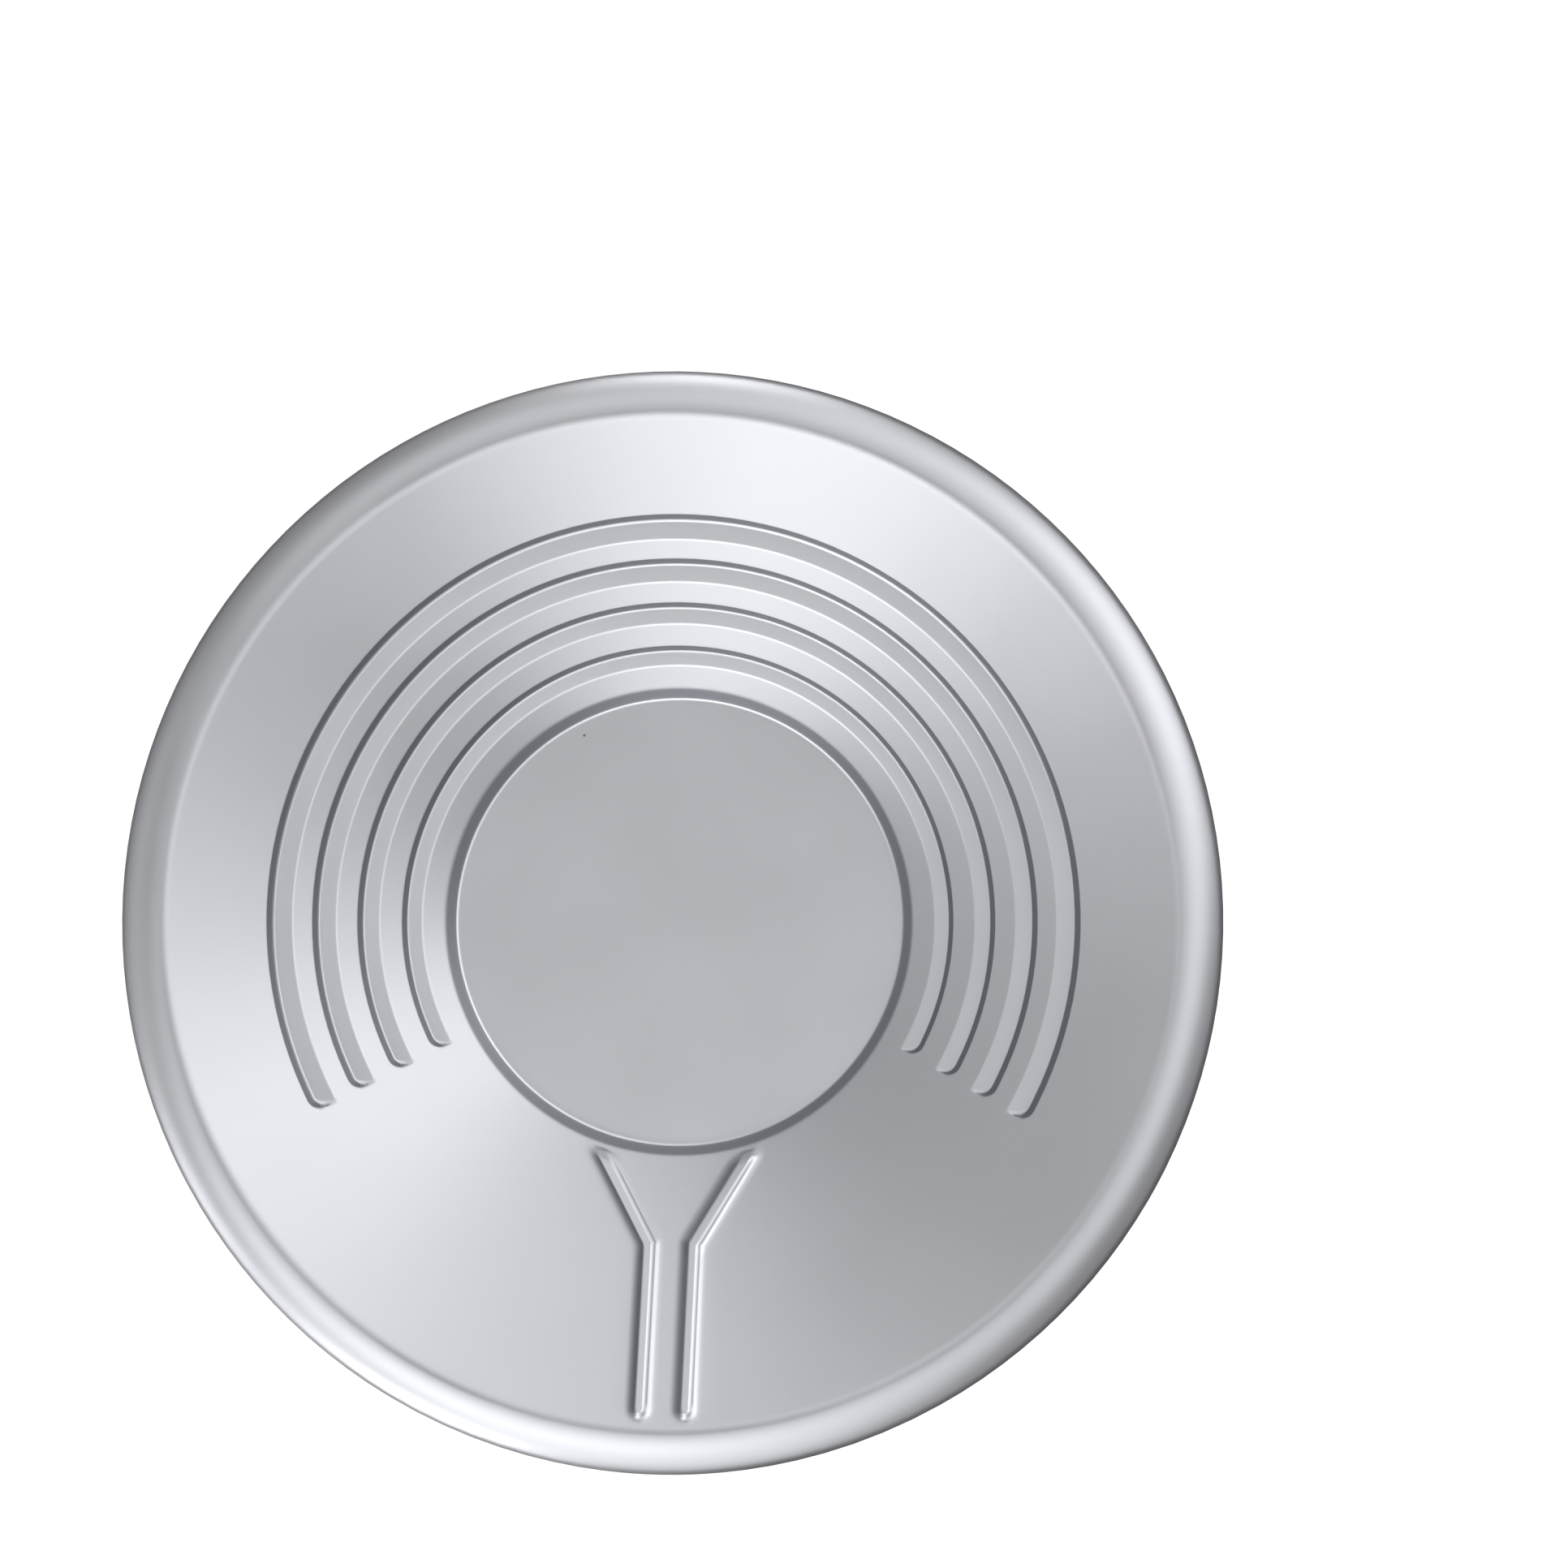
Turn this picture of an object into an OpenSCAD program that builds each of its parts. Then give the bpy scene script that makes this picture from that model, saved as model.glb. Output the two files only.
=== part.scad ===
// Fourteen-inch gold pan: one pressed sheet with a rolled rim, closed over a wire hoop.
// Origin: centre of the flat base's underside. +Z comes out of the bowl.
// The riffles are on the +Y side and the pouring funnel is on the -Y side.

/* [Pan] */
// Diameter over the rolled rim
pan_d = 355.6; // [340:0.1:370]
// Thickness of the sheet
sheet_t = 0.8; // [0.6:0.1:1]
// Slope of the wall, in degrees above level
wall_slope = 31.3; // [29:0.1:33]

/* [Base] */
// Diameter of the flat floor inside the bowl
floor_d = 149.4; // [144:0.2:151]
// Height of the steep step round the floor
step_rise = 4.5; // [3.5:0.1:5.5]
// Width of that step, seen from above
step_run = 3.4; // [2.8:0.1:4]

/* [Riffles] */
// Number of riffles pressed into the wall
riffle_count = 4; // [1:1:4]
// Radius of the first riser
riser_r = 90.8; // [89.8:0.1:91.5]
// Distance from one riser to the next
riffle_pitch = 13.7; // [12.5:0.1:14.3]
// Width of the first tread
tread_w = 4.9; // [4.6:0.1:5.8]
// How much wider each next tread is
tread_step = 0.5; // [0:0.05:0.5]
// Slope of the treads, in degrees above level
tread_slope = 7; // [3:0.5:10]
// Width of a riser, seen from above
riser_run = 1.5; // [1.2:0.1:1.8]
// Angle that the riffles cover
riffle_arc = 238; // [180:1:250]

/* [Funnel] */
// Distance from the middle of the channel to the middle of a rib
channel_half = 7.35; // [6.5:0.05:8.5]
// The same distance at the funnel's mouth
mouth_half = 23.6; // [20:0.1:26]
// Distance from the pan's centre line to the funnel's mouth
mouth_y = 78.6; // [78:0.1:81]
// Distance from the pan's centre line to the bend in the ribs
bend_y = 105.6; // [100:0.1:112]
// Distance from the pan's centre line to the ribs' outer ends
rib_end_y = 156.8; // [150:0.1:157.5]
// Height of the ribs above the wall
rib_rise = 2.6; // [1.8:0.1:3]
// Width of a rib's flat top
rib_top_w = 2.9; // [2:0.1:3.5]
// Width of a rib at its foot
rib_foot_w = 7.8; // [6.6:0.1:8.4]
// Length of the slope at each end of a rib
rib_ramp = 4; // [2:0.1:6]

/* [Rim] */
// Width of the rolled rim, from the wall's edge to the outside
rim_w = 16.5; // [15:0.1:18]
// Radius of the bend from the wall to the rim's crest
crest_bend_r = 6.4; // [4:0.1:7]
// Radius of the rim's shoulder
shoulder_r = 16.5; // [14:0.1:17.5]
// Angle that the shoulder turns through
shoulder_turn = 40; // [36:1:42]
// Diameter of the wire hoop in the hem
wire_d = 3.2; // [2.4:0.1:3.6]
// Free space round the wire
wire_gap = 0.06; // [0.04:0.01:0.1]
// Angle that the hem turns round the wire
hem_turn = 292; // [250:1:300]

/* [Hidden] */

round_fn = 64;
eps = 0.01;

// Fillet radii at the middle of the sheet
floor_fillet = 1.4;
step_fillet = 2.6;
tread_fillet = 1.6;
riser_foot_fillet = 1.0;
riser_top_fillet = 1.3;

// The wall, along the middle of the sheet
floor_z = sheet_t / 2;
floor_r = floor_d / 2;
step_r = floor_r + step_run;
step_z = floor_z + step_rise;
wall_end_r = pan_d / 2 - rim_w;
wall_end_z = step_z + (wall_end_r - step_r) * tan(wall_slope);

// The rim, along the middle of the sheet
outside_r = pan_d / 2 - sheet_t / 2;
crest_r = wall_end_r + crest_bend_r * sin(wall_slope);
skirt_turn = 90 - shoulder_turn;
skirt_r = (outside_r - crest_r - shoulder_r * sin(shoulder_turn)) / (1 - sin(shoulder_turn));
hem_r = wire_d / 2 + wire_gap + sheet_t / 2;
crest_z = wall_end_z + crest_bend_r * (1 - cos(wall_slope));
hem_z = crest_z - shoulder_r * (1 - cos(shoulder_turn)) - skirt_r * cos(shoulder_turn);

riffle_half = riffle_arc / 2;
cap_angle = 0.5;

function wall_z(r) = step_z + (r - step_r) * tan(wall_slope);
function unit(v) = v / norm(v);
function side(v) = [-v.y, v.x];

// Points along a bend of radius r that starts at p, heading at angle h, and turns right by a
function bend(p, h, r, a, n) =
    let (c = p + r * [sin(h), -cos(h)])
    [for (i = [1:n]) let (b = h - a * i / n) c + r * [-sin(b), cos(b)]];

// The corner at b, on the way from a to c, rounded to radius r
function corner(a, b, c, r, n = 4) =
    let (
        u = unit(b - a),
        v = unit(c - b),
        turn = atan2(u.x * v.y - u.y * v.x, u * v),
        away = r * tan(abs(turn) / 2),
        s = sign(turn),
        centre = b - u * away + s * r * side(u)
    )
    [for (i = [0:n]) let (t = s * turn * i / n)
        centre + r * (-s * cos(t) * side(u) + sin(t) * u)];

// A path through corner points, each given as [point, fillet radius]
function rounded(p) = [
    p[0][0],
    for (i = [1:len(p) - 2]) each corner(p[i - 1][0], p[i][0], p[i + 1][0], p[i][1]),
    p[len(p) - 1][0]
];

// The way across the sheet at point i of a path, long enough to keep the thickness at a bend
function across(p, i) =
    let (
        u = unit(p[min(i + 1, len(p) - 1)] - p[min(i, len(p) - 2)]),
        v = unit(p[max(i, 1)] - p[max(i - 1, 0)]),
        m = unit(side(u) + side(v))
    )
    m / (m * side(u));

// One face of a sheet, at distance d from its middle
function face(p, d) = [for (i = [0:len(p) - 1]) p[i] + d * across(p, i)];

// The closed section of a sheet that follows a path
function sheet(p) =
    let (low = face(p, -sheet_t / 2), high = face(p, sheet_t / 2))
    concat(low, [for (i = [len(high) - 1:-1:0]) high[i]]);

// Radii and tread width of riffle i
function riser_at(i) = riser_r + riffle_pitch * i;
function tread_at(i) = tread_w + tread_step * i;
function tread_start(i) = riser_at(i) - riser_run / 2 - tread_at(i);
function riser_foot(i) = riser_at(i) - riser_run / 2;
function riser_top(i) = riser_at(i) + riser_run / 2;

// The three corners of riffle i: where its tread leaves the wall, its riser's foot and its riser's top
function riffle_corners(i) =
    let (z = wall_z(tread_start(i)))
    [
        [[tread_start(i), z], tread_fillet],
        [[riser_foot(i), z + tread_at(i) * tan(tread_slope)], riser_foot_fillet],
        [[riser_top(i), wall_z(riser_top(i))], riser_top_fillet]
    ];

rim_path = let (
    b1 = bend([wall_end_r, wall_end_z], wall_slope, crest_bend_r, wall_slope, 4),
    b2 = bend([crest_r, crest_z], 0, shoulder_r, shoulder_turn, 5),
    b3 = bend(b2[4], -shoulder_turn, skirt_r, skirt_turn, 6),
    b4 = bend([outside_r, hem_z], -90, hem_r, hem_turn, 24)
) concat(b1, b2, b3, b4);

base_corners = [[[0, floor_z], 0], [[floor_r, floor_z], floor_fillet], [[step_r, step_z], step_fillet]];
wall_end = [[[wall_end_r, wall_end_z], 0]];

pan_path = concat(rounded(concat(base_corners, wall_end)), rim_path);

// Revolves a section about Z, over the angle a centred on +Y
module revolve_about(a) {
    rotate([0, 0, 90 - a / 2])
        rotate_extrude(angle = a, $fn = 180)
            children();
}

// One face of riffle i, at distance d from the middle of the sheet
function riffle_face(i, d) =
    let (
        start = tread_start(i) - 2,
        end = riser_top(i) + 2,
        p = face(rounded(concat(
            [[[start, wall_z(start)], 0]],
            riffle_corners(i),
            [[[end, wall_z(end)], 0]]
        )), d)
    )
    [for (k = [1:len(p) - 2]) p[k]];

// The metal behind riffle i, reaching up into the wall
module riffle_back(i) {
    low = riffle_face(i, -sheet_t / 2);
    last = len(low) - 2;
    revolve_about(riffle_arc + 2 * cap_angle)
        polygon(concat(
            [[low[1].x, wall_z(low[1].x)]],
            [for (k = [1:last]) low[k]],
            [[low[last].x, wall_z(low[last].x)]]
        ));
}

// The pocket above riffle i
module riffle_pocket(i) {
    high = riffle_face(i, sheet_t / 2);
    last = len(high) - 1;
    revolve_about(riffle_arc)
        polygon(concat(
            [high[0] + [0, 2], high[0] + [0, eps]],
            [for (k = [1:last - 1]) high[k]],
            [high[last] + [0, eps], high[last] + [0, 2]]
        ));
}

// The path of one rib: plan points with its height there as a share of rib_rise
rib_path = let (
    mouth = [mouth_half, -mouth_y],
    kink = [channel_half, -bend_y],
    along = unit(kink - mouth)
) [
    [mouth, 0],
    [mouth + rib_ramp * along, 1],
    [mouth + (kink - mouth) * 0.35, 1],
    [mouth + (kink - mouth) * 0.68, 1],
    [kink, 1],
    [[channel_half, -(rib_end_y - rib_ramp)], 1],
    [[channel_half, -rib_end_y], 0]
];

// A rib's section at stop i of its path, set in from the outside by t
function rib_section(i, t) =
    let (
        p = [for (q = rib_path) q[0]],
        way = across(p, i),
        high = rib_rise * rib_path[i][1],
        foot = rib_foot_w / 2 - t,
        top = rib_top_w / 2 - t / 2,
        low = t > 0 ? -2 : 0,
        edge = function(w, h) let (q = p[i] + way * w) [q.x, q.y, wall_z(norm(p[i])) + h]
    ) [
        edge(-foot, low),
        edge(foot, low),
        edge(foot, sheet_t * 0.3 - t),
        edge(top, high + sheet_t * 0.6 - t * 1.1),
        edge(-top, high + sheet_t * 0.6 - t * 1.1),
        edge(-foot, sheet_t * 0.3 - t)
    ];

// Both ribs of the funnel, or with t the hollows under them
module ribs(t) {
    n = len(rib_path);
    skip = t > 0 ? 1 : 0;
    stops = [for (i = [skip:n - 1 - skip]) i];
    m = len(stops);
    points = [for (i = stops) each rib_section(i, t)];
    sides = [for (k = [0:m - 2], j = [0:5]) let (c = 6 * k, e = (j + 1) % 6)
        each [[c + j, c + 6 + e, c + e], [c + j, c + 6 + j, c + 6 + e]]];
    ends = [[for (j = [0:5]) j], [for (j = [5:-1:0]) 6 * (m - 1) + j]];
    for (s = [0, 1])
        mirror([s, 0, 0]) polyhedron(points, concat(sides, ends));
}

// The pan itself: floor, step, riffled wall, funnel ribs and rolled rim in one sheet
module pan_shell() {
    color("silver")
        difference() {
            union() {
                rotate_extrude($fn = 180) polygon(sheet(pan_path));
                for (i = [0:riffle_count - 1]) riffle_back(i);
                ribs(0);
            }
            for (i = [0:riffle_count - 1]) riffle_pocket(i);
            ribs(sheet_t);
        }
}

// The hoop inside the hem, with its two ends butted on the +Y side
module rim_wire() {
    color("dimgray")
        rotate([0, 0, 90.1])
            rotate_extrude(angle = 359.8, $fn = 180)
                translate([outside_r - hem_r, hem_z])
                    circle(d = wire_d, $fn = round_fn);
}

pan_shell();
rim_wire();
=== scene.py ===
import math
import bpy
from mathutils import Matrix, Vector


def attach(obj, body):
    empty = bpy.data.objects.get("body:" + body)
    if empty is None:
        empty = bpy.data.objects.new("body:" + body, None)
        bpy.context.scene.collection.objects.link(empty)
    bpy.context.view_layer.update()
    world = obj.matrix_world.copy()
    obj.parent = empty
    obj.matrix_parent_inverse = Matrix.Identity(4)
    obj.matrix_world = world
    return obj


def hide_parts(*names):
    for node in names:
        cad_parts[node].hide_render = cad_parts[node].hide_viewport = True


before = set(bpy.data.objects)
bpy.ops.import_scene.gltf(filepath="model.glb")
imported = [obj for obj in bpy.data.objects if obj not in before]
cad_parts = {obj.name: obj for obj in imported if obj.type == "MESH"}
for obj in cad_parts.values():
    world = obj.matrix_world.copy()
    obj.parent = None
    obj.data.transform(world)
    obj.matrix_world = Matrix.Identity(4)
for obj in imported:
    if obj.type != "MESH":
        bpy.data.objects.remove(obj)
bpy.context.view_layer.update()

mm = 0.001
print("packed pan loaded")


class Value:  # wraps one output socket, so that node maths reads like numbers
    def __init__(self, wiring, socket):
        self.wiring = wiring
        self.socket = socket

    def __add__(self, other):
        return self.wiring.maths("ADD", self, other)

    def __radd__(self, other):
        return self.wiring.maths("ADD", other, self)

    def __sub__(self, other):
        return self.wiring.maths("SUBTRACT", self, other)

    def __rsub__(self, other):
        return self.wiring.maths("SUBTRACT", other, self)

    def __mul__(self, other):
        return self.wiring.maths("MULTIPLY", self, other)

    def __rmul__(self, other):
        return self.wiring.maths("MULTIPLY", other, self)

    def __truediv__(self, other):
        return self.wiring.maths("DIVIDE", self, other)

    def __rtruediv__(self, other):
        return self.wiring.maths("DIVIDE", other, self)

    def __pow__(self, other):
        return self.wiring.maths("POWER", self, other)

    def __rpow__(self, other):
        return self.wiring.maths("POWER", other, self)

    def __abs__(self):
        return self.wiring.maths("ABSOLUTE", self)


class Wiring:  # adds nodes to one tree
    def __init__(self, tree):
        self.tree = tree

    def node(self, kind, settings=None, sockets=None, out=0):
        made = self.tree.nodes.new(kind)
        count = len(self.tree.nodes)
        made.location = (190 * (count // 9), -170 * (count % 9))  # laid out in columns of nine
        for name, value in (settings or {}).items():
            setattr(made, name, value)
        for key, value in (sockets or {}).items():
            if isinstance(value, Value):
                self.tree.links.new(value.socket, made.inputs[key])
            else:
                made.inputs[key].default_value = value
        return Value(self, made.outputs[out])

    def maths(self, operation, *values):
        return self.node("ShaderNodeMath", {"operation": operation}, dict(enumerate(values)))

    def split(self, vector):
        made = self.node("ShaderNodeSeparateXYZ", None, {0: vector}).socket.node
        return [Value(self, socket) for socket in made.outputs]

    def join(self, x, y, z):
        return self.node("ShaderNodeCombineXYZ", None, {0: x, 1: y, 2: z})

    def atLeast(self, value, low):
        return self.maths("MAXIMUM", value, low)

    def longSide(self, a, b):
        return self.maths("SQRT", a * a + b * b)

    def mapped(self, value, low, high, first, last, kind="LINEAR"):
        return self.node("ShaderNodeMapRange", {"interpolation_type": kind},
                         {0: value, 1: low, 2: high, 3: first, 4: last})

    def faded(self, value, band, first, last):  # first to last across a band given in mm
        return self.mapped(value, band[0] * mm, band[1] * mm, first, last)

    def tint(self, share, first, second):  # mixes two colours
        return self.node("ShaderNodeMix", {"data_type": "RGBA"}, {0: share, 6: first, 7: second}, out=2)

    def noise(self, place, scale, detail=2.0, rough=0.5):
        return self.node("ShaderNodeTexNoise", {"noise_dimensions": "3D"},
                         {"Vector": place, "Scale": scale, "Detail": detail, "Roughness": rough})


camera = {
    "place": (88.2, -14.0, 1400.0),   # mm, high above the pan and a little to its right
    "looksAt": (36.5, 43.9, 57.0),    # the pan sits low and left in the view
    "lens": 96.4,
    "sensor": 36.0,
    "roll": 0.75,                     # degrees
}


def aimCamera():
    shape = bpy.data.cameras.new("camera")
    shape.lens = camera["lens"]
    shape.sensor_width = camera["sensor"]
    eye = bpy.data.objects.new("camera", shape)
    place = Vector(camera["place"]) * mm
    target = Vector(camera["looksAt"]) * mm
    back = (place - target).normalized()
    right = Vector((0, 1, 0)).cross(back).normalized()
    turned = Matrix((right, back.cross(right), back)).transposed().to_4x4()
    eye.matrix_world = (Matrix.Translation(place) @ turned
                        @ Matrix.Rotation(math.radians(camera["roll"]), 4, "Z"))
    bpy.context.collection.objects.link(eye)
    bpy.context.scene.camera = eye


aimCamera()
print("camera placed")


# sizes are in mm and degrees
pan = {
    "rimDiameter": 355.6,
    "sheet": 0.8,
    "wallSlope": 31.3,
    "floorRadius": 74.7,
    "stepRise": 4.5,
    "stepRun": 3.4,
    "floorFillet": 1.4,
    "stepFillet": 4.0,
    "rimWidth": 16.5,
    "crestBend": 6.4,
    "shoulderRadius": 16.5,
    "shoulderTurn": 40.0,
    "wireRadius": 1.6,
    "wireGap": 0.06,
    "hemTurn": 292.0,
    "sharpAbove": 40,     # bends sharper than this show an edge
}

riffles = {
    "count": 4,
    "firstRiser": 90.8,
    "pitch": 13.7,
    "treadWidth": 4.9,
    "treadGrowth": 0.5,
    "treadSlope": 7.0,
    "riserRun": 1.5,
    "arc": 238.0,
    "endRadius": 4.6,     # rounding of the outer corners
    "sideFall": 1.75,     # how steeply risers and ends drop below the wall
    "edgeSoft": 0.6,
    "treadSoft": 0.24,
    "footSoft": 0.5,
    "startShift": 0.14,   # how far the soft edges move a tread's start and a riser's foot and top
    "footShift": 0.28,
    "topShift": 0.04,
}

funnel = {
    "channelHalf": 7.35,
    "mouthHalf": 24.4,
    "mouthPlace": 76.6,
    "mouthStart": 0.6,    # how far outside the step the ribs begin to rise
    "mouthFade": 4.5,     # how far outside the step they reach full height
    "bendPlace": 105.6,
    "endPlace": 156.2,
    "rise": 2.6,
    "topHalf": 1.3,
    "footHalf": 5.2,
    "flankCurve": 2.2,    # above 1, the flanks hollow out towards the foot
    "topSoft": 0.35,
}

floorHeight = pan["sheet"] / 2
stepRadius = pan["floorRadius"] + pan["stepRun"]
stepHeight = floorHeight + pan["stepRise"]
wallRise = math.tan(math.radians(pan["wallSlope"]))
wallEnd = pan["rimDiameter"] / 2 - pan["rimWidth"]
faceLift = pan["sheet"] / 2 / math.cos(math.radians(pan["wallSlope"]))


def wallHeight(radius):  # upper face of the plain wall
    return stepHeight + (radius - stepRadius) * wallRise + faceLift


def treadStart(i):
    return riserFoot(i) - riffles["treadWidth"] - riffles["treadGrowth"] * i + riffles["startShift"]


def riserFoot(i):
    middle = riffles["firstRiser"] + riffles["pitch"] * i
    return middle - riffles["riserRun"] / 2 - riffles["footShift"]


def riserTop(i):
    return riserFoot(i) + riffles["riserRun"] - riffles["topShift"]


# how the turned blank's rows of points are spread, and the spokes that cross them
blank = {
    "floorRows": (2.5, 10, 22, 36, 50, 61, 68, 72),
    "stepShares": (0.35, 0.6, 0.8),         # up the step
    "stepRows": (78.9, 0.75, 7),            # first row, spacing and number, in mm
    "upperRows": (134.5, 3.1, 6),
    "ribEndRows": (151.2, 0.78, 13),
    "treadRows": (-1.2, -0.55, -0.3, -0.1, 0.1, 0.3, 0.55),
    "treadShares": (0.3, 0.5, 0.7),         # across each tread
    "footRows": (-0.8, -0.42, -0.27, -0.13, 0.0, 0.13, 0.28, 0.5),
    "topRows": (-0.6, -0.4, -0.24, -0.1, 0.05, 0.2, 0.38, 0.8, 2.0),
    "closestRows": 0.09,
    "floorSteps": 6,
    "filletSteps": 5,
    "crestSteps": 7,
    "shoulderSteps": 9,
    "skirtSteps": 9,
    "hemSteps": 26,
    "flankShares": (-0.14, -0.03, 0.06, 0.15, 0.28, 0.43, 0.6, 0.8, 1.0),
    "topShare": 0.4,                        # of the rib's half top, for its two inner rails
    "channelShares": (0.0, 0.25, 0.5, 0.75),
    "railStart": 79.0,                      # the spokes follow the ribs between these radii
    "railEnd": 160.0,
    "besideRibs": 30.0,                     # degrees from the funnel, where spokes become even
    "besideSteps": 9,
    "besideCurve": 1.2,
    "plainSteps": 12,
    "endStep": 0.25,                        # degrees between spokes at the riffles' ends
    "endSteps": 15,
    "riffleSteps": 46,
}


def bend(start, heading, radius, turn, steps):  # points along an arc that turns right
    centre = Vector((start[0] + radius * math.sin(heading), start[1] - radius * math.cos(heading)))
    angles = [heading - turn * k / steps for k in range(1, steps + 1)]
    return [centre + radius * Vector((-math.sin(a), math.cos(a))) for a in angles]


def fillet(before, corner, after, radius, steps):
    inward = (corner - before).normalized()
    outward = (after - corner).normalized()
    turn = math.atan2(inward.x * outward.y - inward.y * outward.x, inward.dot(outward))
    sense = math.copysign(1, turn)
    side = Vector((-inward.y, inward.x)) * sense
    centre = corner - inward * radius * math.tan(abs(turn) / 2) + side * radius
    swept = [abs(turn) * k / steps for k in range(steps + 1)]
    return [centre + radius * (inward * math.sin(a) - side * math.cos(a)) for a in swept]


def lifted(path, distance):  # the same path, moved square to itself
    moved = []
    for k, point in enumerate(path):
        ahead = (path[min(k + 1, len(path) - 1)] - path[min(k, len(path) - 2)]).normalized()
        behind = (path[max(k, 1)] - path[max(k - 1, 0)]).normalized()
        across = Vector((-ahead.y - behind.y, ahead.x + behind.x)).normalized()
        moved.append(point + across * distance / across.dot(Vector((-ahead.y, ahead.x))))
    return moved


def wallRows():  # where the wall needs rows of points, packed at creases
    rows = []
    for first, spacing, number in (blank["stepRows"], blank["upperRows"], blank["ribEndRows"]):
        rows += [first + spacing * k for k in range(number)]
    for i in range(riffles["count"]):
        start, foot, top = treadStart(i), riserFoot(i), riserTop(i)
        rows += [start + d for d in blank["treadRows"]]
        rows += [start + (foot - start) * share for share in blank["treadShares"]]
        rows += [foot + d for d in blank["footRows"]]
        rows += [top + d for d in blank["topRows"]]
    kept = []
    for row in sorted(rows):
        if not kept or row - kept[-1] > blank["closestRows"]:
            kept.append(row)
    return kept


def panProfile():  # upper face, from near the middle of the floor to the edge inside the hem
    floorCorner = Vector((pan["floorRadius"], floorHeight))
    stepCorner = Vector((stepRadius, stepHeight))
    wallTop = Vector((wallEnd, stepHeight + (wallEnd - stepRadius) * wallRise))
    turn, slope = math.radians(pan["shoulderTurn"]), math.radians(pan["wallSlope"])
    outside = (pan["rimDiameter"] - pan["sheet"]) / 2
    crest = bend(wallTop, slope, pan["crestBend"], slope, blank["crestSteps"])
    shoulder = bend(crest[-1], 0, pan["shoulderRadius"], turn, blank["shoulderSteps"])
    skirtRadius = (outside - shoulder[-1].x) / (1 - math.sin(turn))
    skirt = bend(shoulder[-1], -turn, skirtRadius, math.pi / 2 - turn, blank["skirtSteps"])
    hemRadius = pan["wireRadius"] + pan["wireGap"] + pan["sheet"] / 2
    hem = bend(skirt[-1], -math.pi / 2, hemRadius, math.radians(pan["hemTurn"]), blank["hemSteps"])
    lower = [Vector((r, floorHeight)) for r in blank["floorRows"]]
    lower += fillet(Vector((0, floorHeight)), floorCorner, stepCorner,
                    pan["floorFillet"], blank["floorSteps"])
    lower += [floorCorner.lerp(stepCorner, share) for share in blank["stepShares"]]
    lower += fillet(floorCorner, stepCorner, wallTop, pan["stepFillet"], blank["filletSteps"])
    whole = lifted(lower + [wallTop] + crest + shoulder + skirt + hem, pan["sheet"] / 2)
    wall = [Vector((r, wallHeight(r))) for r in wallRows()]
    return whole[:len(lower)] + wall + whole[len(lower):]


def ribRails():  # how far each line of points along a rib stands from the rib's middle
    top, foot = funnel["topHalf"], funnel["footHalf"]
    flank = [top + (foot - top) * share for share in blank["flankShares"]]
    return [-d for d in reversed(flank)] + [-top * blank["topShare"], top * blank["topShare"]] + flank


def railBearing(offset, radius):  # angle from the funnel's axis where a rail crosses a circle
    mouth = Vector((funnel["mouthHalf"], funnel["mouthPlace"]))
    kink = Vector((funnel["channelHalf"], funnel["bendPlace"]))
    leg = (mouth - kink).normalized()
    outward = Vector((-leg.y, leg.x))
    kinked = kink + offset * (outward + Vector((1, 0))) / (1 + outward.x)
    if radius >= kinked.length:
        return math.asin(kinked.x / radius)
    half = kinked.dot(leg)
    run = -half - math.sqrt(half * half - kinked.length_squared + radius * radius)
    cross = kinked + leg * run
    return math.atan2(cross.x, cross.y)


def spokes(radius):  # bearings of one row's points, from the funnel's axis all the way round
    near = min(max(radius, blank["railStart"]), blank["railEnd"])
    rails = [railBearing(d, near) for d in ribRails()]
    edge = math.radians(blank["besideRibs"])
    gap = math.radians(180 - riffles["arc"] / 2)
    step, beside, plain = blank["endStep"], blank["besideSteps"], blank["plainSteps"]
    half = [rails[0] * share for share in blank["channelShares"]] + rails
    half += [rails[-1] + (edge - rails[-1]) * (k / beside) ** blank["besideCurve"]
             for k in range(1, beside + 1)]
    half += [edge + (gap - math.radians(2 * step) - edge) * k / plain for k in range(1, plain + 1)]
    half += [gap + math.radians(step * k - step) for k in range(blank["endSteps"])]
    last, number = half[-1], blank["riffleSteps"]
    half += [last + (math.pi - last) * k / number for k in range(1, number + 1)]
    return half + [2 * math.pi - b for b in reversed(half[1:-1])]


def turnBlank(materials):  # a smooth pan with no riffles or ribs yet
    points = [(0, 0, 2 * floorHeight * mm)]
    faces = []
    profile = panProfile()
    for place in profile:
        points += [(place.x * math.sin(b) * mm, -place.x * math.cos(b) * mm, place.y * mm)
                   for b in spokes(place.x)]
    count = len(spokes(stepRadius))
    for j in range(count):
        k = (j + 1) % count
        faces.append((0, 1 + j, 1 + k))
        for i in range(len(profile) - 1):
            here, out = 1 + i * count, 1 + (i + 1) * count
            faces.append((here + j, out + j, out + k, here + k))
    shape = bpy.data.meshes.new("panShell")
    shape.from_pydata(points, [], faces)
    for material in materials:
        shape.materials.append(material)
    made = bpy.data.objects.new("panShell", shape)
    bpy.context.collection.objects.link(made)
    print("blank turned:", len(profile), "rows of", count)
    return made


def startTree(name, labels):  # a modifier tree with a named input for each size
    tree = bpy.data.node_groups.new(name, "GeometryNodeTree")
    tree.is_modifier = True
    tree.interface.new_socket("Mesh", in_out="INPUT", socket_type="NodeSocketGeometry")
    tree.interface.new_socket("Mesh", in_out="OUTPUT", socket_type="NodeSocketGeometry")
    for label in labels:
        tree.interface.new_socket(label, in_out="INPUT", socket_type="NodeSocketFloat")
    wiring = Wiring(tree)
    given = wiring.node("NodeGroupInput").socket.node
    return wiring, {socket.name: Value(wiring, socket) for socket in given.outputs if socket.name}


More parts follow.
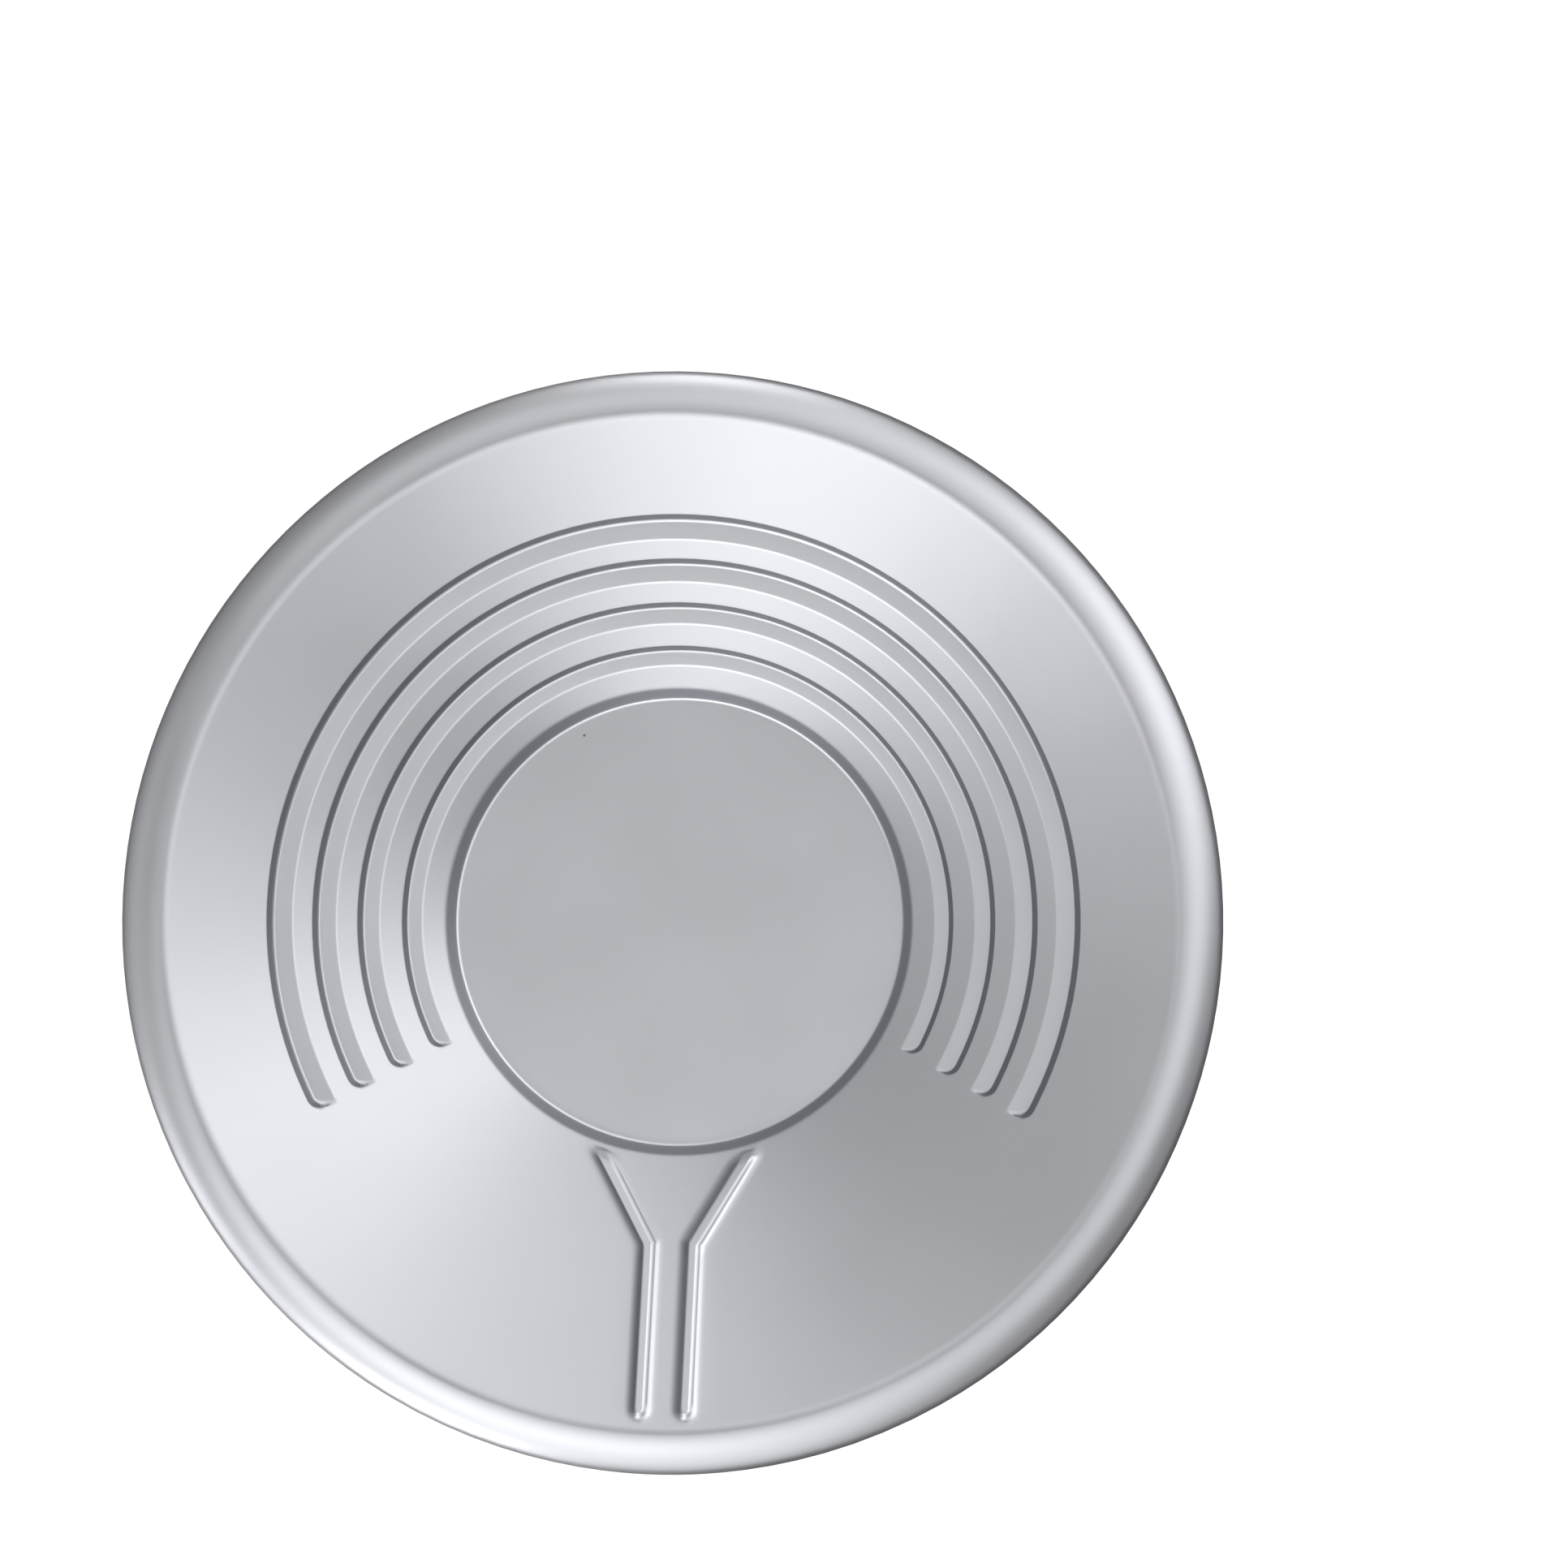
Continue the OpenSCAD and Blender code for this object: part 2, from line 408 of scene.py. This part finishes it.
def endTree(wiring, result, material):
    for kind, sockets in (("GeometryNodeSetShadeSmooth", {}),
                          ("GeometryNodeRealizeInstances", {}),
                          ("GeometryNodeSetMaterial", {"Material": material})):
        result = wiring.node(kind, None, {"Geometry": result, **sockets})
    output = wiring.tree.nodes.new("NodeGroupOutput")
    wiring.tree.links.new(result.socket, output.inputs[0])


def runTree(piece, tree, sizes):  # adds the modifier and fills in its inputs
    modifier = piece.modifiers.new(tree.name, "NODES")
    modifier.node_group = tree
    for item in tree.interface.items_tree:
        if item.in_out == "INPUT" and item.name in sizes:
            modifier[item.identifier] = sizes[item.name]


def bakeModifiers(piece):  # turns the evaluated shape into a plain mesh
    evaluated = piece.evaluated_get(bpy.context.evaluated_depsgraph_get())
    shape = bpy.data.meshes.new_from_object(evaluated)
    piece.modifiers.clear()
    piece.data = shape
    shape.set_sharp_from_angle(angle=math.radians(pan["sharpAbove"]))
    print(piece.name, "has", sum(len(face.vertices) - 2 for face in shape.polygons), "triangles")


satin = {
    "metal": (0.59, 0.597, 0.628, 1),
    "light": (0.65, 0.657, 0.690, 1),
    "dull": (0.50, 0.506, 0.532, 1),
    "paintedHighlight": (0.95, 0.96, 0.99, 1),     # painted highlight along the creases, on the ribs' right flanks and at the rim's edge
    "level": (0.69, 0.698, 0.733, 1),    # painted light: the floor and the treads, which face up, made lighter
    # painted shade for the risers, the step and the ribs' left flanks, and the real scuffing under the
    # base
    "steep": (0.235, 0.238, 0.256, 1),
    "metallic": 0.92,
    "roughness": 0.45,
    "creaseWidth": 0.55,    # mm
    "grainSize": 0.35,      # mm
    "grainDepth": 0.05,
    "waveSize": 38.0,       # mm, slow unevenness left by the press
    "waveDepth": 0.25,
    "scratches": 0.06,
    "turningPitch": 0.9,    # mm between the faint rings underneath
    "fleckPlace": (-32.7, 61.8, 0.8),
    "fleckSize": 0.55,
    "fleck": (0.05, 0.05, 0.05, 1),
}

# where each painted shade, painted highlight and scuff starts and stops, in mm
zones = {
    "bowlEdge": (160.0, 162.5),      # distance from the pan's axis
    "ribsFront": (-73.0, -74.5),     # place along Y
    "ribsStart": (79.3, 80.3),       # distance from the axis
    "ribsSide": (31.0, 34.0),        # distance to either side of the funnel's middle
    "ribsFull": (81.0, 86.0),        # distance from the axis
    "ribsEnd": 2.0,                  # length of the fade at the ribs' outer ends
    "ribShade": (0.1, 0.4),          # distance from the painted shade line beside a rib's top
    "treadsStart": (81.0, 83.0),
    "riffleEnds": (0.2, 1.5),        # distance inside the riffles' ends
    "leftward": (-20.0, 30.0),       # place along X
    "rimEdge": (175.2, 177.0),
    "base": (0.2, 1.0),              # place along Z
}


def newMaterial(name):
    material = bpy.data.materials.new(name)
    material.use_nodes = True
    material.node_tree.nodes.clear()
    return material, Wiring(material.node_tree)


def setSurface(wiring, sockets):
    shader = wiring.node("ShaderNodeBsdfPrincipled", None, sockets)
    output = wiring.tree.nodes.new("ShaderNodeOutputMaterial")
    wiring.tree.links.new(shader.socket, output.inputs["Surface"])


def ribSide(w, x, y):  # distance to the right of the nearest rib's middle line
    mouth = Vector((funnel["mouthHalf"], funnel["mouthPlace"]))
    kink = Vector((funnel["channelHalf"], funnel["bendPlace"]))
    leg = (mouth - kink).normalized()
    across, down = abs(x) - kink.x * mm, -1 * y - kink.y * mm
    onLeg = w.faded(down, (-0.1, 0.1), 1, 0)
    outward = onLeg * (across * -leg.y + down * leg.x) + (1 - onLeg) * across
    return outward * w.maths("SIGN", x)


def crease(w, distance, place):  # a thin line where the distance has this value
    width = satin["creaseWidth"]
    return w.faded(abs(distance - place * mm), (width * 0.25, width), 1, 0)


def creaseHighlights(w, x, y, radius, fromRib, onRibs):  # how much painted highlight each crease gets
    # painted highlight, most at the far side, less on the left, and not at all at the near right
    farther = w.mapped(y / radius, 0.2, 0.85, 0, 1)
    leftward = w.faded(x, zones["leftward"], 1, 0)
    highlightShare = w.atLeast(farther, leftward * 0.45)
    creases = crease(w, radius, pan["floorRadius"] - 0.5) * w.atLeast(farther, leftward * 0.85)
    creases = creases + onRibs * crease(w, fromRib, funnel["topHalf"] + 0.1)
    toEnd = (math.radians(riffles["arc"] / 2) - abs(w.maths("ARCTAN2", x, y))) * radius
    onRiffles = w.faded(toEnd, zones["riffleEnds"], 0, 1)
    corner = riffles["endRadius"] * mm
    fromEnd = w.atLeast(corner - toEnd, 0)
    for i in range(riffles["count"]):
        # the painted highlight at a riser's foot turns the corner and fades along the end
        top, start = riserTop(i), treadStart(i)
        inside = corner - w.longSide(fromEnd, w.atLeast(corner - top * mm + radius, 0))
        fading = w.faded(radius, (start + 1.2, start + 3.8), 0, 1)
        nearby = w.faded(radius, (top + 0.5, top + 0.6), 1, 0)
        foot = crease(w, inside, top - riserFoot(i) + 0.2)
        creases = creases + foot * fading * nearby * highlightShare
        creases = creases + onRiffles * 0.5 * highlightShare * crease(w, radius, start)
    return creases, leftward


def shadeBowl(w, x, y, radius, colour):  # painted shade on the risers, the step and the ribs' left flanks, painted highlights along the creases, and lighter paint on the level faces
    across, _, upward = w.split(w.node("ShaderNodeTexCoord", out="Normal"))
    inBowl = w.faded(radius, zones["bowlEdge"], 1, 0)
    byRibs = w.faded(y, zones["ribsFront"], 0, 1) * w.faded(radius, zones["ribsStart"], 0, 1)
    byRibs = byRibs * w.faded(abs(x), zones["ribsSide"], 1, 0)
    # painted shade on the ribs' left flanks
    leftSide = w.mapped(across, -0.18, -0.72, 0, 0.9, "SMOOTHSTEP") * byRibs * inBowl
    steep = w.mapped(upward, 0.78, 0.55, 0, 1) * inBowl * (1 - byRibs) + leftSide
    colour = w.tint(steep, colour, satin["steep"])
    # painted highlight on the ribs' right flanks
    rightSide = w.mapped(across, 0.22, 0.50, 0, 1) * byRibs * inBowl
    colour = w.tint(rightSide * 0.7, colour, satin["paintedHighlight"])

    fromRib = ribSide(w, x, y)
    outerEnd = (-funnel["endPlace"], zones["ribsEnd"] - funnel["endPlace"])
    onRibs = w.faded(y, outerEnd, 0, 1) * byRibs * w.faded(radius, zones["ribsFull"], 0, 1)
    # painted shade: a dark line beside each rib's top
    ribLine = w.faded(abs(fromRib - (funnel["topHalf"] + 0.95) * mm), zones["ribShade"], 1, 0)
    colour = w.tint(ribLine * onRibs * 0.6, colour, satin["steep"])

    # painted light: the floor and the treads, which face up, are made lighter
    level = w.mapped(upward, 0.92, 0.96, 0, 1) * inBowl * (1 - byRibs)
    onTreads = w.faded(radius, zones["treadsStart"], 0.7, 1)
    colour = w.tint(level * onTreads, colour, satin["level"])
    creases, leftward = creaseHighlights(w, x, y, radius, fromRib, onRibs)
    colour = w.tint(creases, colour, satin["paintedHighlight"])
    # painted highlight along the rim's outer edge, on the left
    edge = w.faded(radius, zones["rimEdge"], 0, 1) * leftward
    return w.tint(edge * 0.8, colour, satin["paintedHighlight"])


def fleckShare(w, x, y, z, grain):  # one dark speck on the floor
    spot = satin["fleckPlace"]
    away = w.longSide(w.longSide(x - spot[0] * mm, y - spot[1] * mm), z - spot[2] * mm)
    ragged = away + (grain - 0.5) * 0.6 * mm
    return w.faded(ragged, (satin["fleckSize"] * 0.4, satin["fleckSize"]), 1, 0)


def sheetMaterial(name, under):  # satin pressed sheet, outside face or underside
    material, w = newMaterial(name)
    place = w.node("ShaderNodeTexCoord", out="Object")
    x, y, z = w.split(place)
    radius = w.longSide(x, y)
    grain = w.noise(place, 1 / (satin["grainSize"] * mm), 3, 0.6)
    slow = w.noise(place, 1 / (satin["waveSize"] * mm), 1, 0.4)
    # panning leaves faint scratches that run round the bowl
    circling = w.join(radius * 2600, w.maths("ARCTAN2", y, x) * 5, z * 900)
    scratch = w.mapped(w.noise(circling, 1.0, 4, 0.7), 0.60, 0.72, 0, 1)
    scratch = scratch * w.mapped(w.noise(place, 22, 3, 0.6), 0.42, 0.62, 0, 1)
    tone = (grain - 0.5) * 0.35 + (slow - 0.5) * 0.5 + 0.5
    colour = w.tint(tone, satin["dull"] if under else satin["metal"], satin["light"])
    colour = w.tint(scratch * satin["scratches"] * 3, colour, satin["dull"])
    roughness = satin["roughness"] + (grain - 0.5) * 0.10 + (slow - 0.5) * 0.06 - scratch * 0.05
    height = grain * satin["grainDepth"] - scratch * 0.02
    if under:
        rings = w.maths("SINE", radius * (2 * math.pi / (satin["turningPitch"] * mm)))
        scuff = w.mapped(w.noise(w.join(x * 1400, y * 90, z), 1.0, 3, 0.7), 0.5, 0.75, 0, 1)
        scuff = scuff * w.faded(z, zones["base"], 1, 0)
        colour = w.tint(scuff * 0.5, colour, satin["steep"])
        roughness = roughness + 0.06 + scuff * 0.1
        height = height + rings * 0.004 + scuff * 0.006
    else:
        fleck = fleckShare(w, x, y, z, grain)
        colour = w.tint(fleck * 0.85, shadeBowl(w, x, y, radius, colour), satin["fleck"])
        roughness = roughness + fleck * 0.3
    waves = w.node("ShaderNodeBump", None,
                   {"Strength": satin["waveDepth"], "Distance": 0.6 * mm, "Height": slow})
    fine = w.node("ShaderNodeBump", None,
                  {"Strength": 0.35, "Distance": 0.4 * mm, "Height": height, "Normal": waves})
    setSurface(w, {"Base Color": colour, "Metallic": satin["metallic"],
                   "Roughness": roughness, "Normal": fine})
    return material


def pressSizes():  # what the press tree asks for, in metres and radians
    return {
        "Wall Radius": stepRadius * mm,
        "Wall Height": (stepHeight + faceLift) * mm,
        "Wall Rise": wallRise,
        "First Riser Top": riserTop(0) * mm,
        "Riffle Pitch": riffles["pitch"] * mm,
        "Tread Start": treadStart(0) * mm,
        "Tread Growth": riffles["treadGrowth"] * mm,
        "Tread Rise": math.tan(math.radians(riffles["treadSlope"])),
        "Riffle Half Arc": math.radians(riffles["arc"] / 2),
        "End Radius": riffles["endRadius"] * mm,
        "Side Fall": riffles["sideFall"],
        "Edge Softness": riffles["edgeSoft"] * mm,
        "Tread Softness": riffles["treadSoft"] * mm,
        "Foot Softness": riffles["footSoft"] * mm,
        "Channel Half": funnel["channelHalf"] * mm,
        "Mouth Half": funnel["mouthHalf"] * mm,
        "Mouth Place": funnel["mouthPlace"] * mm,
        "Bend Place": funnel["bendPlace"] * mm,
        "End Place": funnel["endPlace"] * mm,
        "Mouth Start": funnel["mouthStart"] * mm,
        "Mouth Fade": funnel["mouthFade"] * mm,
        "Rib Rise": funnel["rise"] * mm,
        "Rib Top Half": funnel["topHalf"] * mm,
        "Rib Foot Half": funnel["footHalf"] * mm,
        "Flank Curve": funnel["flankCurve"],
        "Rib Softness": funnel["topSoft"] * mm,
    }


def pressRiffles(w, size, x, y, z, radius):  # the height once every riffle is pressed
    wall = size["Wall Height"] + (radius - size["Wall Radius"]) * size["Wall Rise"]
    toEnd = (size["Riffle Half Arc"] - abs(w.maths("ARCTAN2", x, y))) * radius
    corner = size["End Radius"]
    fromEnd = w.atLeast(corner - toEnd, 0)
    height = z
    for i in range(riffles["count"]):  # one pocket after another, each a tread, a riser and two ends
        top = size["First Riser Top"] + size["Riffle Pitch"] * i
        start = size["Tread Start"] + (size["Riffle Pitch"] - size["Tread Growth"]) * i
        startHeight = size["Wall Height"] + (start - size["Wall Radius"]) * size["Wall Rise"]
        tread = startHeight + w.atLeast(radius - start, -2 * mm) * size["Tread Rise"]
        inside = corner - w.longSide(fromEnd, w.atLeast(corner - top + radius, 0))
        side = wall - inside * size["Side Fall"]
        soft = w.mapped(inside, 1.0 * mm, 2.2 * mm, size["Edge Softness"], size["Tread Softness"])
        pocket = w.maths("SMOOTH_MAX", tread, side, size["Foot Softness"])
        height = w.maths("SMOOTH_MIN", height, pocket, soft)
    return height


def raiseRibs(w, size, x, y, radius):  # how far the funnel's ribs lift the sheet
    across, down = abs(x), 0 - y

    def fromLine(x1, y1, x2, y2):  # distance from a straight stretch of rib
        runX, runY = x2 - x1, y2 - y1
        share = ((across - x1) * runX + (down - y1) * runY) / (runX * runX + runY * runY)
        share = w.node("ShaderNodeClamp", None, {0: share})
        return w.longSide(across - x1 - runX * share, down - y1 - runY * share)

    leg = fromLine(size["Mouth Half"], size["Mouth Place"], size["Channel Half"], size["Bend Place"])
    channel = fromLine(size["Channel Half"], size["Bend Place"], size["Channel Half"], size["End Place"])
    away = w.maths("MINIMUM", leg, channel)
    flank = (size["Rib Foot Half"] - away) / (size["Rib Foot Half"] - size["Rib Top Half"])
    rib = w.atLeast(flank, 0) ** size["Flank Curve"] * size["Rib Rise"]
    rib = w.maths("SMOOTH_MIN", rib, size["Rib Rise"], size["Rib Softness"])
    first, full = size["Wall Radius"] + size["Mouth Start"], size["Wall Radius"] + size["Mouth Fade"]
    return rib * w.mapped(radius, first, full, 0, 1, "SMOOTHSTEP")


def pressTree(material, labels):
    w, size = startTree("pressPan", labels)
    x, y, z = w.split(w.node("GeometryNodeInputPosition"))
    radius = w.longSide(x, y)
    height = pressRiffles(w, size, x, y, z, radius) + raiseRibs(w, size, x, y, radius)
    pressed = w.node("GeometryNodeSetPosition", None,
                     {"Geometry": size["Mesh"], "Position": w.join(x, y, height)})
    endTree(w, pressed, material)
    return w.tree


def makePan():
    outer, inner = sheetMaterial("satinSheet", False), sheetMaterial("satinUnderside", True)
    piece = turnBlank([outer, inner])
    sizes = pressSizes()
    runTree(piece, pressTree(outer, sizes), sizes)
    wall = piece.modifiers.new("sheetThickness", "SOLIDIFY")
    wall.thickness = pan["sheet"] * mm
    wall.offset = -1
    wall.use_even_offset = True
    wall.use_quality_normals = True
    wall.material_offset = 1  # the underside takes the second material
    bakeModifiers(piece)
    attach(piece, "root")
    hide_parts("pan_shell")
    return piece


hoopWire = {
    "height": 47.9,         # mm, middle of the wire
    "buttGap": 0.2,         # degrees between the two ends
    "steps": 360,           # points round the hoop
    "sides": 20,
    "zinc": (0.42, 0.43, 0.45, 1),
    "bright": (0.62, 0.63, 0.64, 1),
    "stain": (0.30, 0.29, 0.28, 1),
    "roughness": 0.42,
}


def wireMaterial():  # dull spangled zinc on drawn wire
    material, w = newMaterial("galvanisedWire")
    place = w.node("ShaderNodeTexCoord", out="Object")
    x, y, z = w.split(place)
    spangle = w.node("ShaderNodeTexVoronoi", None, {"Vector": place, "Scale": 700.0}, out="Distance")
    along = w.join(w.longSide(x, y) * 9000, w.maths("ARCTAN2", y, x) * 30, z * 9000)
    drawn = w.noise(along, 1.0, 3, 0.6)
    stain = w.mapped(w.noise(place, 60, 3, 0.6), 0.45, 0.65, 0, 1)
    colour = w.tint(spangle * 0.8, hoopWire["zinc"], hoopWire["bright"])
    colour = w.tint(stain * 0.35, colour, hoopWire["stain"])
    bump = w.node("ShaderNodeBump", None, {"Strength": 0.3, "Distance": 0.1 * mm, "Height": drawn})
    setSurface(w, {"Base Color": colour, "Metallic": 0.9,
                   "Roughness": hoopWire["roughness"] + stain * 0.2, "Normal": bump})
    return material


def hoopTree(labels):
    w, size = startTree("rollHoop", labels)
    hoop = w.node("GeometryNodeCurveArc", {"mode": "RADIUS"},
                  {"Resolution": hoopWire["steps"], "Radius": size["Hoop Radius"],
                   "Start Angle": math.pi / 2 + size["Butt Gap"] / 2,
                   "Sweep Angle": 2 * math.pi - size["Butt Gap"]})
    raised = w.node("GeometryNodeTransform", None,
                    {"Geometry": hoop, "Translation": w.join(0, 0, size["Height"])})
    section = w.node("GeometryNodeCurvePrimitiveCircle", {"mode": "RADIUS"},
                     {"Resolution": hoopWire["sides"], "Radius": size["Wire Radius"]})
    wire = w.node("GeometryNodeCurveToMesh", None,
                  {"Curve": raised, "Profile Curve": section, "Fill Caps": True})
    endTree(w, wire, wireMaterial())
    return w.tree


def makeWire():
    hoopRadius = pan["rimDiameter"] / 2 - pan["sheet"] - pan["wireGap"] - pan["wireRadius"]
    sizes = {
        "Hoop Radius": hoopRadius * mm,
        "Height": hoopWire["height"] * mm,
        "Wire Radius": pan["wireRadius"] * mm,
        "Butt Gap": math.radians(hoopWire["buttGap"]),
    }
    piece = bpy.data.objects.new("rimWire", bpy.data.meshes.new("rimWire"))
    bpy.context.collection.objects.link(piece)
    runTree(piece, hoopTree(sizes), sizes)
    bakeModifiers(piece)
    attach(piece, "root")
    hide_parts("rim_wire")
    return piece


makePan()
makeWire()
print("pan and wire made")


studio = {
    "tableHalf": 4.0,      # metres
    "tableShade": 0.86,
    "tableGlow": 0.62,     # a lit table, so its shadows stay faint
    "tableDrop": 0.05,     # mm, so that the table and the pan's base don't share a plane
    "lampReach": 1.5,      # metres from the pan
    "lamps": [             # name, bearing from +X, height above the table in degrees, metres across, watts
        ("rightHigh", 0, 55, 1.1, 3.5),
        ("backRightHigh", 60, 55, 1.1, 2.6),
        ("backLeftHigh", 120, 55, 1.1, 2.6),
        ("frontLeftHigh", 240, 55, 1.1, 7.1),
        ("frontRightHigh", 300, 55, 1.1, 1.7),
        ("rightLow", 30, 28, 1.1, 5.1),
        ("backRightLow", 60, 28, 1.1, 1.2),
        ("backLow", 90, 28, 1.1, 1.3),
        ("backLeftLow", 150, 28, 1.1, 0.4),
        ("leftLow", 180, 28, 1.1, 1.2),
        ("frontLow", 270, 28, 1.1, 3.7),
        ("backRim", 90, 7, 0.5, 2.8),
        ("leftRim", 210, 7, 0.5, 2.4),
        ("frontLeftRim", 240, 7, 0.5, 5.4),
    ],
    "belowTable": 0.0,     # how bright the room is at three heights
    "horizon": 0.25,
    "overhead": 0.0,
    "belowBand": (0.0, -0.35),     # where the horizon's light gives way, as the sine of the height
    "overheadBand": (0.15, 0.95),
}


def layTable():
    material, w = newMaterial("paleTable")
    place = w.node("ShaderNodeTexCoord", out="Object")
    shade = studio["tableShade"] + (w.noise(place, 9, 2, 0.5) - 0.5) * 0.01
    setSurface(w, {"Base Color": w.node("ShaderNodeCombineColor", None, {0: shade, 1: shade, 2: shade}),
                   "Roughness": 0.9, "Emission Color": (1, 1, 1, 1),
                   "Emission Strength": studio["tableGlow"]})
    shape = bpy.data.meshes.new("table")
    half, drop = studio["tableHalf"], -studio["tableDrop"] * mm
    corners = [(-half, -half, drop), (half, -half, drop), (half, half, drop), (-half, half, drop)]
    shape.from_pydata(corners, [], [(0, 1, 2, 3)])
    shape.materials.append(material)
    table = bpy.data.objects.new("table", shape)
    bpy.context.collection.objects.link(table)
    table.visible_glossy = False


def hangLamps():
    for name, bearing, height, width, power in studio["lamps"]:
        lamp = bpy.data.lights.new(name, "AREA")
        lamp.shape = "DISK"
        lamp.size = width
        lamp.energy = power
        hung = bpy.data.objects.new(name, lamp)
        b, h = math.radians(bearing), math.radians(height)
        toward = Vector((math.cos(b) * math.cos(h), math.sin(b) * math.cos(h), math.sin(h)))
        hung.location = toward * studio["lampReach"]
        hung.rotation_euler = toward.to_track_quat("Z", "Y").to_euler()
        bpy.context.collection.objects.link(hung)


def fillSky():  # the room round the table
    world = bpy.data.worlds.new("studioRoom")
    world.use_nodes = True
    world.node_tree.nodes.clear()
    w = Wiring(world.node_tree)
    up = w.split(w.node("ShaderNodeTexCoord", out="Generated"))[2]
    low = w.mapped(up, *studio["belowBand"], 0, 1, "SMOOTHSTEP")
    high = w.mapped(up, *studio["overheadBand"], 0, 1, "SMOOTHSTEP")
    level = studio["horizon"] * (1 - low - high) + studio["belowTable"] * low + studio["overhead"] * high
    shade = w.node("ShaderNodeCombineColor", None, {0: level, 1: level, 2: level})
    glow = w.node("ShaderNodeBackground", None, {"Color": shade})
    output = w.tree.nodes.new("ShaderNodeOutputWorld")
    w.tree.links.new(glow.socket, output.inputs["Surface"])
    bpy.context.scene.world = world


layTable()
hangLamps()
fillSky()
bpy.context.scene.view_settings.view_transform = "Standard"
print("table and lights set")
